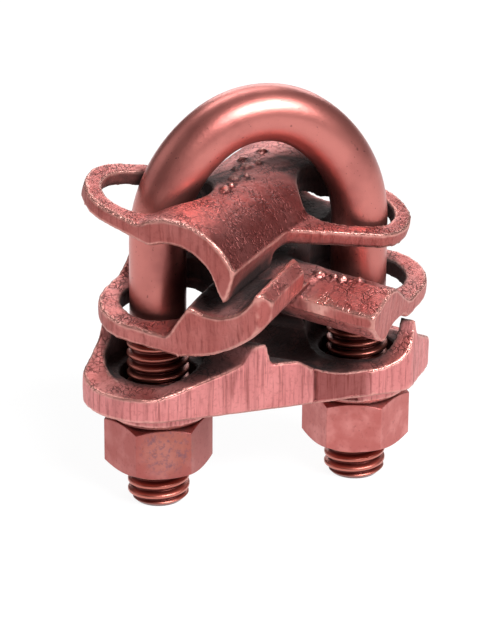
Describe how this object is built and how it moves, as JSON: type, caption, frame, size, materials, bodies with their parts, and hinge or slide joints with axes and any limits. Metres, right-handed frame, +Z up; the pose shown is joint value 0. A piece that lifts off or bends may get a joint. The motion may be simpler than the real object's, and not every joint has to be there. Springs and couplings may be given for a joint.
{
  "type": "cross cable connector",
  "caption": "U-bolt cross connector that clamps cables crossing at right angles between a top saddle, a two-way cradle and a base, drawn together by hexagon nuts under the base.",
  "frame": {"origin": "midway between the tips of the two legs, at the height of the tips", "axes": "+X from the left leg to the right leg, +Z up along the legs to the bow; the cables cross on the two plan diagonals"},
  "size_m": [0.0548, 0.043, 0.0639],
  "materials": {
    "copper_rod": "smooth drawn rod, satin",
    "copper_forging": "hot forged skin, satin, with sheared sides",
    "copper_nut": "cold formed, satin"
  },
  "bodies": {
    "bolt": {"u_bolt": "copper_rod"},
    "base": {"base_plate": "copper_forging"},
    "left_nut": {"nut_left": "copper_nut"},
    "right_nut": {"nut_right": "copper_nut"},
    "cradle": {"cross_cradle": "copper_forging"},
    "saddle": {"top_saddle": "copper_forging"}
  },
  "joints": [
    {"name": "base_travel", "type": "slide", "parent": "bolt", "child": "base", "axis": [0, 0, 1], "range_m": [-0.004, 0]},
    {"name": "left_nut_turn", "type": "hinge", "parent": "base", "child": "left_nut", "pos_m": [-0.0159, 0, 0.01], "axis": [0, 0, 1], "range_deg": [-908, 0]},
    {"name": "right_nut_turn", "type": "hinge", "parent": "base", "child": "right_nut", "pos_m": [0.0159, 0, 0.01], "axis": [0, 0, 1], "range_deg": [-908, 0]},
    {"name": "cradle_lift", "type": "slide", "parent": "base", "child": "cradle", "axis": [0, 0, 1], "range_m": [0, 0.0003]},
    {"name": "saddle_lift", "type": "slide", "parent": "cradle", "child": "saddle", "axis": [0, 0, 1], "range_m": [0, 0.0003]}
  ],
  "couplings": [
    {"joint": "left_nut_turn", "follows": "base_travel", "rad_per_m": 3957.9},
    {"joint": "right_nut_turn", "follows": "base_travel", "rad_per_m": 3957.9}
  ]
}
